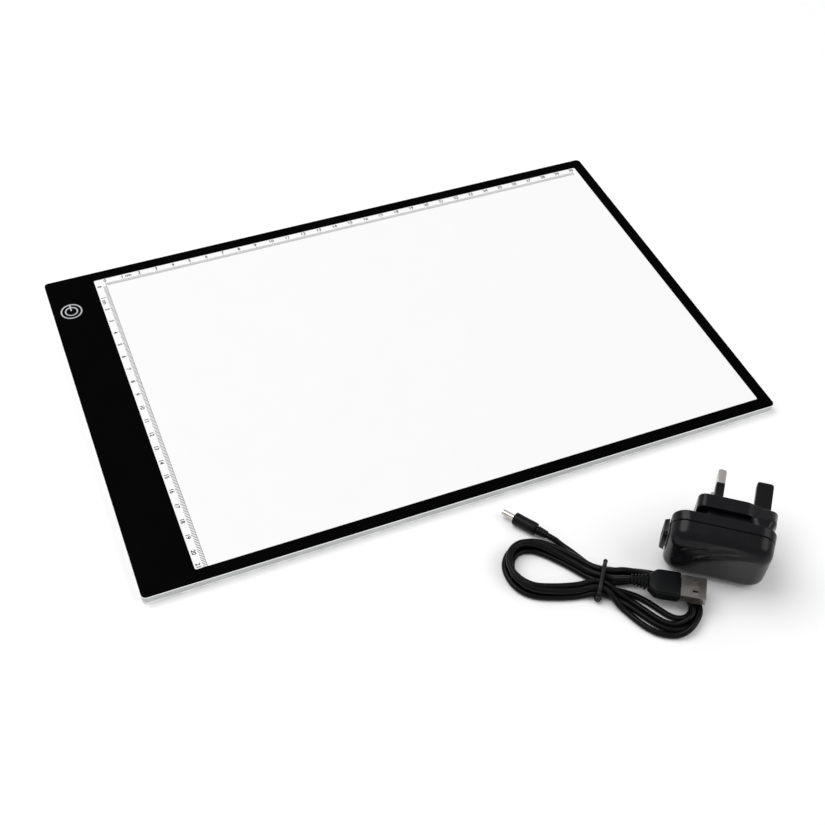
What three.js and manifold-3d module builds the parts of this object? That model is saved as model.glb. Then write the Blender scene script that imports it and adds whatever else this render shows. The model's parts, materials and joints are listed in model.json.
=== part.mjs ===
// Light box for tracing, A4, with its supply lead and its plug-in power adapter.
// Millimetres, +Z up. The origin is the centre of the pad's underside, which lies on the table.
// +X runs along the long side, away from the control strip; +Y runs to the back edge.

import * as THREE from 'three';
import { mergeVertices } from 'three/addons/utils/BufferGeometryUtils.js';
import Module from 'manifold-3d';

const wasm = await Module();
wasm.setup();

// ---- driving dimensions -------------------------------------------------------------------

const PAD = { length: 343, width: 230, corner: 2.5 };

// Heights of the laminated layers above the table.
const LEVEL = {
  bayFloor: 1.0,
  reflector: 1.25,
  coverTop: 1.5,
  guideTop: 4.5,
  diffuserTop: 4.75,
  sheetTop: 5.25,
  overlayTop: 5.5,
};

// The lit window, and the electronics bay under the control strip.
const WINDOW = { left: -144.375, right: 165.125, front: -108, back: 108.25, corner: 1 };
const BAY = { left: -168.5, right: -149, front: -111, back: 111, corner: 1 };

// The reflector lies in its own shallow recess in the cover, a little larger than the sheet.
const REFLECTOR = { left: -145.75, right: 168.75, halfWidth: 112.25, corner: 1, clearance: 0.25 };

const LED = {
  count: 16, pitch: 13.25, size: [1.9, 3.5, 2.8], x: -150.6875, z: 2.8, lensRadius: 1.1, lensHeight: 0.25,
};
const LED_BOARD = { back: -151.75, thick: 0.75, length: 212, low: 1.25, high: 4.25 };
const TOUCH = { x: -161.3, y: 87.2, radius: 6 };
const SPRING = { turns: 3, pointsPerTurn: 12, radius: 2.5, wire: 0.4 };
const BOARD = { x: -160.5, front: 40, back: 101, width: 14, thick: 0.75 };
const LED_WIRE = { diameter: 0.8, apart: 2.4 };
const JACK = { x: -159, front: 104, mouth: 114.75, width: 7.5, low: 0.5, high: 4.6875, bore: 1.55 };
const JACK_CLEARANCE = 0.0625;

// Supply lead: cord, hank, tie and plugs.
const CORD = { diameter: 3 };
const HANK = { low: 0.0625, high: 6.0 };
const TIE = {
  x: 32.5, y: -181.3, heading: -37.2, halfWidth: 8.1, thick: 1.2, length: 2, inLow: 1.3, inHigh: 7.5,
};
const DC_PLUG = {
  x: 20.2, y: -147.8, z: 3.3, heading: 124, relief: 5.5, reliefRadius: 2.4, grip: 12.5, gripRadius: 3.2,
  gripBevel: 0.3, barrel: 6.5, radius: 1.5, bore: 0.95,
};
const USB_PLUG = {
  x: 42.6, y: -188.9, z: 9.8, heading: -33, relief: 8.2, grip: 14.6, wall: 0.3,
  shell: [11.75, 12, 4.5], hole: 2.5, holeFromEnd: 5.1, holeApart: 3,
};

// Power adapter with rectangular three-pin plug. It lies on its drafted side wall.
const ADAPTER = { x: 80.2, y: -200.6, heading: -37, wallDraft: 10, endDraft: 2 };
const CASE = {
  halfLength: 24.2, halfHeight: 19.5, dome: 6, seam: 10.5, rear: 15.8, rearEdge: 1.5, wall: 2, corner: 8,
};
// The plug's face stands on a neck, and runs out flush with the case at the earth pin's end.
const PLUG = {
  face: 27, shelf: 20, left: -14, right: 23.5, halfWide: 18.3, halfNarrow: 15.2, corner: 4,
  taperFrom: 8, taperTo: 17, flushLeft: 9.5, flushFoot: 12,
  neck: { left: -11, right: 15, halfZ: 15, corner: 4 },
  cavity: { left: -9, right: 12, halfZ: 7, back: 24.5 },
};
const PINS = {
  lineX: -4.7, spread: 22.22, blade: [4, 6.35], bladeLength: 17.7, sleeve: 9,
  earth: [8, 4], earthLength: 22.7, neck: [2.4, 4.75],
};
const EARTH_X = PINS.lineX + PINS.spread;
const EARTH_ROOT = 18.8;
const SOCKET = { y: 10.9, opening: [5.1, 12.5], skin: 0.3, depth: 13, proud: 2.2, rim: 1.3, corner: 3 };
const CONVERTER = {
  boardHalfX: 19, boardHalfZ: 12, boardThick: 1.2, transformer: [-10, 2, 7], tall: 5.5, can: [8, -4, 2.9],
};

const GAP = 0.3;

// ---- materials ----------------------------------------------------------------------------

const paint = (color, roughness, metalness = 0) => () =>
  new THREE.MeshStandardMaterial({ color, roughness, metalness });

const finish = {
  whiteCover: paint(0xf4f4f2, 0.5),
  reflector: paint(0xffffff, 0.8),
  acrylic: paint(0xdfe4e4, 0.15),
  diffuser: paint(0xfafafa, 0.7),
  topSheet: paint(0xffffff, 0.35),
  blackFilm: paint(0x060606, 0.45),
  board: paint(0x1f5d38, 0.6),
  ledBody: paint(0xfdf6da, 0.5),
  chip: paint(0x16161a, 0.5),
  ferrite: paint(0x3c3c40, 0.7),
  ceramic: paint(0xb89a72, 0.6),
  copper: paint(0xc98a54, 0.35, 1),
  steel: paint(0xb9b7b2, 0.3, 1),
  nickel: paint(0xd6d3ca, 0.25, 1),
  blackRubber: paint(0x101012, 0.55),
  blackPlastic: paint(0x1a1a1e, 0.35),
  whitePlastic: paint(0xededea, 0.5),
  tape: paint(0xd8b23a, 0.5),
  redWire: paint(0xb3221e, 0.5),
};

// ---- geometry helpers ---------------------------------------------------------------------

function toSolid(geometry) {
  const bare = geometry.clone();
  bare.deleteAttribute('normal');
  bare.deleteAttribute('uv');
  const merged = mergeVertices(bare, 1e-5);
  const vertProperties = new Float32Array(merged.attributes.position.array);
  const triVerts = new Uint32Array(merged.index.array);
  return new wasm.Manifold(new wasm.Mesh({ numProp: 3, vertProperties, triVerts }));
}

function toGeometry(solid) {
  const mesh = solid.getMesh();
  const geometry = new THREE.BufferGeometry();
  geometry.setAttribute('position', new THREE.BufferAttribute(new Float32Array(mesh.vertProperties), 3));
  geometry.setIndex(new THREE.BufferAttribute(new Uint32Array(mesh.triVerts), 1));
  geometry.computeVertexNormals();
  return geometry;
}

const cut = (body, ...tools) =>
  toGeometry(tools.reduce((solid, tool) => solid.subtract(toSolid(tool)), toSolid(body)));

const join = (first, ...others) =>
  toGeometry(others.reduce((solid, other) => solid.add(toSolid(other)), toSolid(first)));

function roundedShape(left, right, front, back, radius) {
  const shape = new THREE.Shape();
  shape.moveTo(left + radius, front);
  shape.lineTo(right - radius, front);
  shape.absarc(right - radius, front + radius, radius, -Math.PI / 2, 0);
  shape.lineTo(right, back - radius);
  shape.absarc(right - radius, back - radius, radius, 0, Math.PI / 2);
  shape.lineTo(left + radius, back);
  shape.absarc(left + radius, back - radius, radius, Math.PI / 2, Math.PI);
  shape.lineTo(left, front + radius);
  shape.absarc(left + radius, front + radius, radius, Math.PI, Math.PI * 1.5);
  return shape;
}

const padShape = () =>
  roundedShape(-PAD.length / 2, PAD.length / 2, -PAD.width / 2, PAD.width / 2, PAD.corner);

function slab(shape, low, high, curveSegments = 6) {
  const depth = high - low;
  const geometry = new THREE.ExtrudeGeometry(shape, { depth, bevelEnabled: false, curveSegments });
  return geometry.translate(0, 0, low);
}

function block(left, right, front, back, low, high) {
  const geometry = new THREE.BoxGeometry(right - left, back - front, high - low);
  return geometry.translate((left + right) / 2, (front + back) / 2, (low + high) / 2);
}

// A round bar along +X from start, with the radius given at each station along it.
function turned(stations, segments = 20) {
  const profile = stations.map(([along, radius]) => new THREE.Vector2(radius, along));
  const geometry = new THREE.LatheGeometry(profile, segments);
  return geometry.rotateZ(-Math.PI / 2);
}

// A tube of even diameter along a smooth curve through the points.
function tube(points, diameter, steps, sides = 8) {
  const curve = new THREE.CatmullRomCurve3(points.map((p) => new THREE.Vector3(...p)));
  const section = new THREE.Shape(
    Array.from({ length: sides }, (_, i) => {
      const angle = (2 * Math.PI * i) / sides;
      return new THREE.Vector2(Math.cos(angle) * diameter / 2, Math.sin(angle) * diameter / 2);
    }),
  );
  return new THREE.ExtrudeGeometry(section, { steps, extrudePath: curve, bevelEnabled: false });
}

// A convex body lofted along +Y through sections of one rounded rectangle each, on the X and Z axes.
function loft(sections, cornerSteps = 4) {
  const ring = ({ halfX, halfZ, corner }) => {
    const points = [];
    const centres = [[1, 1], [-1, 1], [-1, -1], [1, -1]];
    centres.forEach(([sx, sz], quarter) => {
      for (let step = 0; step <= cornerSteps; step += 1) {
        const angle = (Math.PI / 2) * (quarter + step / cornerSteps);
        points.push([
          sx * (halfX - corner) + corner * Math.cos(angle),
          sz * (halfZ - corner) + corner * Math.sin(angle),
        ]);
      }
    });
    return points;
  };
  const count = 4 * (cornerSteps + 1);
  const positions = [];
  const faces = [];
  sections.forEach((section) => {
    ring(section).forEach(([x, z]) => positions.push(x, section.y, z));
  });
  for (let row = 0; row + 1 < sections.length; row += 1) {
    for (let i = 0; i < count; i += 1) {
      const a = row * count + i;
      const b = row * count + ((i + 1) % count);
      faces.push(a, b + count, b, a, a + count, b + count);
    }
  }
  const last = (sections.length - 1) * count;
  for (let i = 1; i + 1 < count; i += 1) {
    faces.push(0, i, i + 1);
    faces.push(last, last + i + 1, last + i);
  }
  const geometry = new THREE.BufferGeometry();
  geometry.setAttribute('position', new THREE.Float32BufferAttribute(positions, 3));
  geometry.setIndex(faces);
  geometry.computeVertexNormals();
  return geometry;
}

function place(group, name, geometry, material) {
  const mesh = new THREE.Mesh(geometry, material());
  mesh.name = name;
  group.add(mesh);
  return mesh;
}

const radians = THREE.MathUtils.degToRad;

// ---- the pad ------------------------------------------------------------------------------

function buildLayers(pad) {
  const bayShape = roundedShape(BAY.left, BAY.right, BAY.front, BAY.back, BAY.corner);
  const bay = (low, high) => slab(bayShape, low, high, 3);
  const jackSlot = (low, high) => block(
    JACK.x - JACK.width / 2 - GAP, JACK.x + JACK.width / 2 + GAP,
    JACK.front - GAP, PAD.width / 2 + 1, low, high,
  );
  const reflectorShape = (grown) => roundedShape(
    REFLECTOR.left - grown, REFLECTOR.right + grown,
    -REFLECTOR.halfWidth - grown, REFLECTOR.halfWidth + grown, REFLECTOR.corner,
  );

  place(pad, 'back_cover', cut(
    slab(padShape(), 0, LEVEL.coverTop),
    slab(reflectorShape(REFLECTOR.clearance), LEVEL.reflector, LEVEL.coverTop + 1, 3),
    bay(LEVEL.bayFloor, LEVEL.coverTop + 1),
    jackSlot(JACK.low - JACK_CLEARANCE, LEVEL.coverTop + 1),
  ), finish.whiteCover);

  place(pad, 'reflector_sheet', slab(
    reflectorShape(0), LEVEL.reflector, LEVEL.coverTop, 3,
  ), finish.reflector);

  place(pad, 'light_guide', cut(
    slab(padShape(), LEVEL.coverTop, LEVEL.guideTop),
    bay(LEVEL.coverTop - 1, LEVEL.guideTop + 1),
    jackSlot(LEVEL.coverTop - 1, LEVEL.guideTop + 1),
  ), finish.acrylic);

  place(pad, 'diffuser_sheet', cut(
    slab(padShape(), LEVEL.guideTop, LEVEL.diffuserTop),
    jackSlot(LEVEL.guideTop - 1, LEVEL.diffuserTop + 1),
  ), finish.diffuser);

  place(pad, 'top_sheet', slab(padShape(), LEVEL.diffuserTop, LEVEL.sheetTop), finish.topSheet);

  const windowShape = roundedShape(WINDOW.left, WINDOW.right, WINDOW.front, WINDOW.back, WINDOW.corner);
  const frameShape = padShape();
  frameShape.holes.push(new THREE.Path(windowShape.getPoints(3).reverse()));
  place(pad, 'border_overlay', slab(frameShape, LEVEL.sheetTop, LEVEL.overlayTop), finish.blackFilm);
}

function buildLightSource(pad) {
  const { back, thick, length, low, high } = LED_BOARD;
  place(pad, 'led_board', block(
    back - thick, back, -length / 2, length / 2, low, high,
  ), finish.whitePlastic);

  const [depth, width, height] = LED.size;
  for (let i = 0; i < LED.count; i += 1) {
    const y = (i - (LED.count - 1) / 2) * LED.pitch;
    const name = `led_${String(i + 1).padStart(2, '0')}`;
    const body = block(LED.x - depth / 2, LED.x + depth / 2, y - width / 2, y + width / 2,
      LED.z - height / 2, LED.z + height / 2);
    const lens = turned([
      [0, 0], [0, LED.lensRadius], [LED.lensHeight, LED.lensRadius - 0.2], [LED.lensHeight, 0],
    ], 12);
    lens.translate(LED.x + depth / 2 - 0.05, y, LED.z);
    place(pad, name, join(body, lens), finish.ledBody);
  }
}

function buildControls(pad) {
  const low = LEVEL.bayFloor;
  const top = low + BOARD.thick;
  const left = BOARD.x - BOARD.width / 2;
  const chip = (name, x, y, [sizeX, sizeY, height], material) => place(pad, name, block(
    x - sizeX / 2, x + sizeX / 2, y - sizeY / 2, y + sizeY / 2, top, top + height,
  ), material);

  place(pad, 'control_board', block(
    left, left + BOARD.width, BOARD.front, BOARD.back, low, top,
  ), finish.board);
  chip('touch_controller_ic', BOARD.x, 75, [5, 6, 1.25], finish.chip);
  chip('led_driver_ic', BOARD.x + 2, 54, [4, 5, 1.25], finish.chip);
  chip('boost_inductor', BOARD.x - 3, 64, [6, 6, 2], finish.ferrite);
  chip('smoothing_capacitor', BOARD.x + 3, 46, [3.25, 2.5, 1.75], finish.ceramic);

  const electrode = new THREE.CylinderGeometry(TOUCH.radius, TOUCH.radius, 0.125, 32).rotateX(Math.PI / 2);
  electrode.translate(TOUCH.x, TOUCH.y, LEVEL.guideTop - 0.0625);
  place(pad, 'touch_electrode', electrode, finish.copper);

  const { turns, pointsPerTurn, radius, wire } = SPRING;
  const springLow = top + wire / 2 + 0.05;
  const springHigh = LEVEL.guideTop - 0.125 - wire / 2 - 0.05;
  const helix = Array.from({ length: turns * pointsPerTurn + 1 }, (_, i) => {
    const angle = (2 * Math.PI * i) / pointsPerTurn;
    const rise = (springHigh - springLow) * (i / (turns * pointsPerTurn));
    return [TOUCH.x + radius * Math.cos(angle), TOUCH.y + radius * Math.sin(angle), springLow + rise];
  });
  place(pad, 'touch_spring', tube(helix, wire, 2 * turns * pointsPerTurn, 6), finish.copper);

  const lead = (shift) => [
    [BOARD.x + 4 - shift, BOARD.front - 0.6, top], [BOARD.x + 4 - shift, 32 - shift, top + 0.6],
    [BOARD.x + 6 - shift / 2, 24 - shift, top + 1],
    [LED_BOARD.back - LED_BOARD.thick - 0.9, 17 - 1.5 * shift, top + 1],
  ];
  const { diameter, apart } = LED_WIRE;
  place(pad, 'led_lead_positive', tube(lead(0), diameter, 16), finish.redWire);
  place(pad, 'led_lead_negative', tube(lead(apart), diameter, 16), finish.blackRubber);
}

function buildJack(pad) {
  const { x, front, mouth, width, low, high, bore } = JACK;
  const middle = (low + high) / 2;
  const hole = new THREE.CylinderGeometry(bore, bore, mouth - front - 1, 24);
  hole.translate(x, (mouth + front + 2) / 2 + 0.5, middle);
  place(pad, 'dc_jack_housing', cut(
    block(x - width / 2, x + width / 2, front, mouth, low, high), hole,
  ), finish.blackPlastic);

  const pin = turned([[0, 0], [0, 0.4], [7.2, 0.4], [7.8, 0.2], [7.8, 0]], 12).rotateZ(Math.PI / 2);
  pin.translate(x, front + 2 + GAP, middle);
  place(pad, 'dc_jack_pin', pin, finish.nickel);
}

// ---- the supply lead ----------------------------------------------------------------------

// Outline of the tied hank, seen from above, and the eye inside its round end.
const HANK_OUTLINE = [
  [35, -173.6], [31.2, -166.2], [27.4, -158.2], [23.6, -153.4], [19.4, -152.2], [14.5, -147.8], [9, -145],
  [3, -145.6], [-3, -148.8], [-7.4, -154.6], [-9.2, -162], [-7.6, -170], [-2.6, -176], [5.8, -180.8],
  [16.2, -184.8], [26.6, -188.4], [29.4, -192.6], [31.2, -198], [33.8, -204.6], [37, -211.4], [42.2, -216.4],
  [49, -218.6], [59.6, -220], [67, -216], [71.4, -209], [72.4, -200.6], [68.6, -192], [61.8, -185.8],
  [53.6, -180.6], [46, -175.8], [40, -174.4],
];
const HANK_EYE = [
  [26.4, -177.4], [22, -170.4], [16.6, -161], [12, -156], [6.4, -153.6], [2, -155.6], [-0.6, -160.2],
  [-0.8, -165.4], [2.4, -170.2], [8.6, -173.8], [17.4, -176.8],
];
const DC_LEAD = [[20.37, -148.05, 3.3], [21.2, -149.3, 3.2], [21.9, -150.3, 3.1]];
const USB_LEAD = [[38.6, -186.1, 8.6], [40.35, -187.42, 9.5], [42.27, -188.69, 9.8]];

function closedShape(points, divisions) {
  const curve = new THREE.CatmullRomCurve3(points.map(([x, y]) => new THREE.Vector3(x, y, 0)), true);
  return curve.getPoints(divisions).slice(0, -1).map((p) => new THREE.Vector2(p.x, p.y));
}

function buildHank(lead) {
  const outline = new THREE.Shape(closedShape(HANK_OUTLINE, 62));
  outline.holes.push(new THREE.Path(closedShape(HANK_EYE, 33)));
  // The tie passes under the hank and up both of its sides, in a groove as long as the band.
  const groove = TIE.length / 2 + GAP;
  const inside = TIE.halfWidth - GAP;
  const outside = TIE.halfWidth + 8;
  const tools = [
    block(-groove, groove, -outside, outside, -1, TIE.inLow + 0.2),
    block(-groove, groove, inside, outside, -1, HANK.high + 1),
    block(-groove, groove, -outside, -inside, -1, HANK.high + 1),
  ].map((tool) => tool.rotateZ(radians(TIE.heading)).translate(TIE.x, TIE.y, 0));
  place(lead, 'cable_hank', cut(slab(outline, HANK.low, HANK.high), ...tools), finish.blackRubber);

  const frame = new THREE.Shape([
    new THREE.Vector2(-TIE.halfWidth - TIE.thick, TIE.inLow - TIE.thick),
    new THREE.Vector2(TIE.halfWidth + TIE.thick, TIE.inLow - TIE.thick),
    new THREE.Vector2(TIE.halfWidth + TIE.thick, TIE.inHigh + TIE.thick),
    new THREE.Vector2(-TIE.halfWidth - TIE.thick, TIE.inHigh + TIE.thick),
  ]);
  frame.holes.push(new THREE.Path([
    new THREE.Vector2(-TIE.halfWidth, TIE.inLow), new THREE.Vector2(-TIE.halfWidth, TIE.inHigh),
    new THREE.Vector2(TIE.halfWidth, TIE.inHigh), new THREE.Vector2(TIE.halfWidth, TIE.inLow),
  ]));
  const band = new THREE.ExtrudeGeometry(frame, { depth: TIE.length, bevelEnabled: false });
  band.translate(0, 0, -TIE.length / 2).rotateX(Math.PI / 2).rotateZ(Math.PI / 2);
  const mesh = place(lead, 'cable_tie', band, finish.blackRubber);
  mesh.position.set(TIE.x, TIE.y, 0);
  mesh.rotation.z = radians(TIE.heading);

  place(lead, 'cable_lead_dc', tube(DC_LEAD, CORD.diameter, 3), finish.blackRubber);
  place(lead, 'cable_lead_usb', tube(USB_LEAD, CORD.diameter, 4), finish.blackRubber);
}

function buildDcPlug(lead) {
  const plug = new THREE.Group();
  plug.position.set(DC_PLUG.x, DC_PLUG.y, DC_PLUG.z);
  plug.rotation.z = radians(DC_PLUG.heading);
  lead.add(plug);

  const gripStart = DC_PLUG.relief + GAP;
  const gripEnd = gripStart + DC_PLUG.grip;
  const { reliefRadius, gripRadius, gripBevel } = DC_PLUG;
  const relief = [[0, 0], [0, reliefRadius - 0.4], [DC_PLUG.relief, reliefRadius], [DC_PLUG.relief, 0]];
  place(plug, 'dc_plug_relief', turned(relief), finish.blackRubber);
  const grip = [
    [gripStart, 0], [gripStart, gripRadius - gripBevel], [gripStart + gripBevel, gripRadius],
    [gripEnd - gripBevel, gripRadius], [gripEnd, gripRadius - gripBevel], [gripEnd, 0],
  ];
  place(plug, 'dc_plug_grip', turned(grip, 28), finish.blackRubber);

  const { barrel: barrelLength, radius, bore } = DC_PLUG;
  const start = gripEnd + GAP;
  const tip = start + barrelLength;
  const barrel = [
    [start, 0], [start, radius], [tip - 0.2, radius], [tip, radius - 0.15], [tip, bore], [start + 1, bore],
    [start + 1, 0],
  ];
  place(plug, 'dc_plug_barrel', turned(barrel, 24), finish.nickel);
  const liner = [
    [start + 1 + GAP, 0], [start + 1 + GAP, bore - GAP], [tip - 0.4, bore - GAP], [tip - 0.4, 0.45],
    [start + 2, 0.45], [start + 2, 0],
  ];
  place(plug, 'dc_plug_liner', turned(liner, 16), finish.blackPlastic);
}

function buildUsbPlug(lead) {
  const plug = new THREE.Group();
  plug.position.set(USB_PLUG.x, USB_PLUG.y, USB_PLUG.z);
  plug.rotation.z = radians(USB_PLUG.heading);
  lead.add(plug);

  // Local +X points from the cord to the contacts; the lofts are made along +Y and turned to +X.
  const along = (sections) => loft(sections).rotateZ(-Math.PI / 2);
  const section = (y, halfX, halfZ, corner) => ({ y, halfX, halfZ, corner });

  place(plug, 'usb_plug_relief', along([
    section(0, 2.2, 2.2, 2), section(USB_PLUG.relief, 3.6, 2.5, 2),
  ]), finish.blackRubber);

  const gripStart = USB_PLUG.relief + GAP;
  const gripEnd = gripStart + USB_PLUG.grip;
  place(plug, 'usb_plug_grip', along([
    section(gripStart, 4.4, 2.7, 2), section(gripStart + 3, 6.6, 3.3, 2.2),
    section(gripEnd - 1, 7, 3.4, 2.2), section(gripEnd, 6.6, 3.1, 2),
  ]), finish.blackRubber);

  const { wall, hole, holeFromEnd, holeApart } = USB_PLUG;
  const [length, width, height] = USB_PLUG.shell;
  const start = gripEnd + GAP;
  const end = start + length;
  const halfY = width / 2;
  const halfZ = height / 2;
  const shell = block(start, end, -halfY, halfY, -halfZ, halfZ);
  const hollow = block(start + 1, end + 1, wall - halfY, halfY - wall, wall - halfZ, halfZ - wall);
  const holes = [-holeApart, holeApart].flatMap((y) => [-halfZ, halfZ].map((z) => (
    block(end - holeFromEnd - hole / 2, end - holeFromEnd + hole / 2, y - hole / 2, y + hole / 2,
      z - 2 * wall, z + 2 * wall)
  )));
  place(plug, 'usb_plug_shell', cut(shell, hollow, ...holes), finish.steel);
  const tongueY = halfY - wall - GAP;
  place(plug, 'usb_plug_tongue', block(
    start + 1 + GAP, end - 0.4, -tongueY, tongueY, wall + GAP - halfZ, 0.2,
  ), finish.whitePlastic);
}

// ---- the power adapter --------------------------------------------------------------------

// Half sizes of the case at a distance y from its front, with the side walls' draft.
function caseSection(y, inset = 0) {
  const sideDraft = Math.tan(radians(ADAPTER.wallDraft));
  const endDraft = Math.tan(radians(ADAPTER.endDraft));
  return {
    y,
    halfX: CASE.halfLength - inset - endDraft * (CASE.rear - y),
    halfZ: CASE.halfHeight - inset - sideDraft * (CASE.rear - y),
    corner: Math.max(CASE.corner - inset, 1),
  };
}

// The domed front of the case as far back as y = to, drawn in by a wall's thickness where asked.
function domedBody(to, inset = 0) {
  const rows = [0, 0.06, 0.2, 0.42, 0.7, 1].map((share) => share * CASE.dome);
  const sections = rows.map((y) => {
    const drawnIn = CASE.dome - Math.sqrt(CASE.dome ** 2 - (CASE.dome - y) ** 2);
    return { ...caseSection(y, inset + drawnIn), y: y + inset };
  });
  return loft([...sections, caseSection(to, inset)]);
}

// An outline that is the same above and below its X axis, pushed along +Y with its own Y upright.
const prismAlongY = (shape, from, to) => slab(shape, from, to, 5).rotateX(-Math.PI / 2);

function plugOutline() {
  const { left, right, halfWide, halfNarrow, corner, taperFrom, taperTo } = PLUG;
  const middle = (taperFrom + taperTo) / 2;
  const shape = new THREE.Shape();
  shape.moveTo(left, -halfWide + corner);
  shape.absarc(left + corner, -halfWide + corner, corner, Math.PI, Math.PI * 1.5);
  shape.lineTo(taperFrom, -halfWide);
  shape.bezierCurveTo(middle, -halfWide, middle, -halfNarrow, taperTo, -halfNarrow);
  shape.absarc(right - corner, -halfNarrow + corner, corner, -Math.PI / 2, 0);
  shape.absarc(right - corner, halfNarrow - corner, corner, 0, Math.PI / 2);
  shape.lineTo(taperTo, halfNarrow);
  shape.bezierCurveTo(middle, halfNarrow, middle, halfWide, taperFrom, halfWide);
  shape.absarc(left + corner, halfWide - corner, corner, Math.PI / 2, Math.PI);
  return shape;
}

function socketSlot() {
  const [slotY, slotZ] = SOCKET.opening.map((size) => size / 2 + SOCKET.skin + GAP);
  const wallX = -CASE.halfLength;
  return block(wallX - 5, wallX + 5, SOCKET.y - slotY, SOCKET.y + slotY, -slotZ, slotZ);
}

function buildCase(adapter) {
  const front = domedBody(CASE.seam);
  const frontHollow = domedBody(CASE.seam + 1, CASE.wall);
  place(adapter, 'adapter_front_shell', cut(front, frontHollow, socketSlot()), finish.blackPlastic);

  const { rear, rearEdge, wall } = CASE;
  const from = CASE.seam + GAP;
  const body = loft([
    caseSection(from), caseSection(rear - rearEdge),
    { ...caseSection(rear, 0.25 * rearEdge), y: rear - 0.4 * rearEdge },
    { ...caseSection(rear, rearEdge), y: rear },
  ]);
  const { cavity, corner, face, flushFoot, flushLeft, halfNarrow, halfWide, right, shelf } = PLUG;
  const { left: neckLeft, right: neckRight, halfZ: neckZ, corner: neckCorner } = PLUG.neck;
  const neckShape = roundedShape(neckLeft, neckRight, -neckZ, neckZ, neckCorner);
  const neck = prismAlongY(neckShape, rear - 1, shelf + 1);
  const platform = prismAlongY(plugOutline(), shelf, face);
  // The flush end widens from its foot on the case to the platform, and narrows again to the face.
  const endX = (right + flushLeft) / 2;
  const endHalf = (right - flushLeft) / 2 - 0.4;
  const flushEnd = loft([
    { y: flushFoot, halfX: endHalf - 3, halfZ: halfWide - 0.1, corner: corner - 0.5 },
    { y: shelf, halfX: endHalf, halfZ: halfWide - 0.3, corner },
    { y: face - 0.02, halfX: endHalf - 0.1, halfZ: halfNarrow - 0.05, corner },
  ]).translate(endX, 0, 0);
  const [earthX, earthZ] = PINS.earth.map((size) => size / 2 + GAP);
  place(adapter, 'adapter_rear_shell', cut(
    join(body, neck, platform, flushEnd),
    loft([caseSection(from - 1, wall), caseSection(rear - wall, wall)]),
    block(cavity.left, cavity.right, rear - wall - 1, cavity.back, -cavity.halfZ, cavity.halfZ),
    block(EARTH_X - earthX, EARTH_X + earthX, EARTH_ROOT, face + 1, -earthZ, earthZ),
    socketSlot(), ...pinSlots(GAP),
  ), finish.blackPlastic);
}

// The straight slots that the two blades' necks pass through, a clearance wider than the necks.
function pinSlots(clearance) {
  const [neckX, neckZ] = PINS.neck.map((size) => size / 2 + clearance);
  return [1, -1].map((side) => {
    const z = (side * PINS.spread) / 2;
    return block(PINS.lineX - neckX, PINS.lineX + neckX, CASE.rear - 6, PLUG.face + 1, z - neckZ, z + neckZ);
  });
}

function buildPins(adapter) {
  const [neckX, neckZ] = PINS.neck;
  const [bladeX, bladeZ] = PINS.blade;
  const root = PLUG.face + GAP;
  const sleeveEnd = PLUG.face + PINS.sleeve;
  const bladeStart = sleeveEnd + GAP;
  const tip = PLUG.face + PINS.bladeLength;
  [['line', 1], ['neutral', -1]].forEach(([name, side]) => {
    const z = (side * PINS.spread) / 2;
    const neck = block(PINS.lineX - neckX / 2, PINS.lineX + neckX / 2, CASE.rear - 3, bladeStart + 1,
      z - neckZ / 2, z + neckZ / 2);
    const station = (y, drawnIn) => (
      { y, halfX: bladeX / 2 - drawnIn, halfZ: bladeZ / 2 - drawnIn, corner: 0.4 }
    );
    const blade = loft([
      station(bladeStart, 0), station(tip - 2, 0), station(tip - 0.6, 0.7), station(tip, 1.4),
    ], 2).translate(PINS.lineX, 0, z);
    place(adapter, `adapter_${name}_pin`, join(neck, blade), finish.nickel);

    const sleeve = block(PINS.lineX - bladeX / 2, PINS.lineX + bladeX / 2, root, sleeveEnd,
      z - bladeZ / 2, z + bladeZ / 2);
    const bore = block(PINS.lineX - neckX / 2 - GAP, PINS.lineX + neckX / 2 + GAP, root - 1, sleeveEnd + 1,
      z - neckZ / 2 - GAP, z + neckZ / 2 + GAP);
    place(adapter, `adapter_${name}_sleeve`, cut(sleeve, bore), finish.blackPlastic);
  });

  const earthTip = PLUG.face + PINS.earthLength;
  const [earthWidth, earthThick] = PINS.earth;
  const earth = loft([
    { y: EARTH_ROOT + GAP, halfX: earthWidth / 2, halfZ: earthThick / 2, corner: 0.5 },
    { y: earthTip - 1.8, halfX: earthWidth / 2, halfZ: earthThick / 2, corner: 0.5 },
    { y: earthTip, halfX: earthWidth / 2 - 0.9, halfZ: earthThick / 2 - 0.9, corner: 0.5 },
  ], 2).translate(EARTH_X, 0, 0);
  place(adapter, 'adapter_earth_pin', earth, finish.blackPlastic);
}

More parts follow.
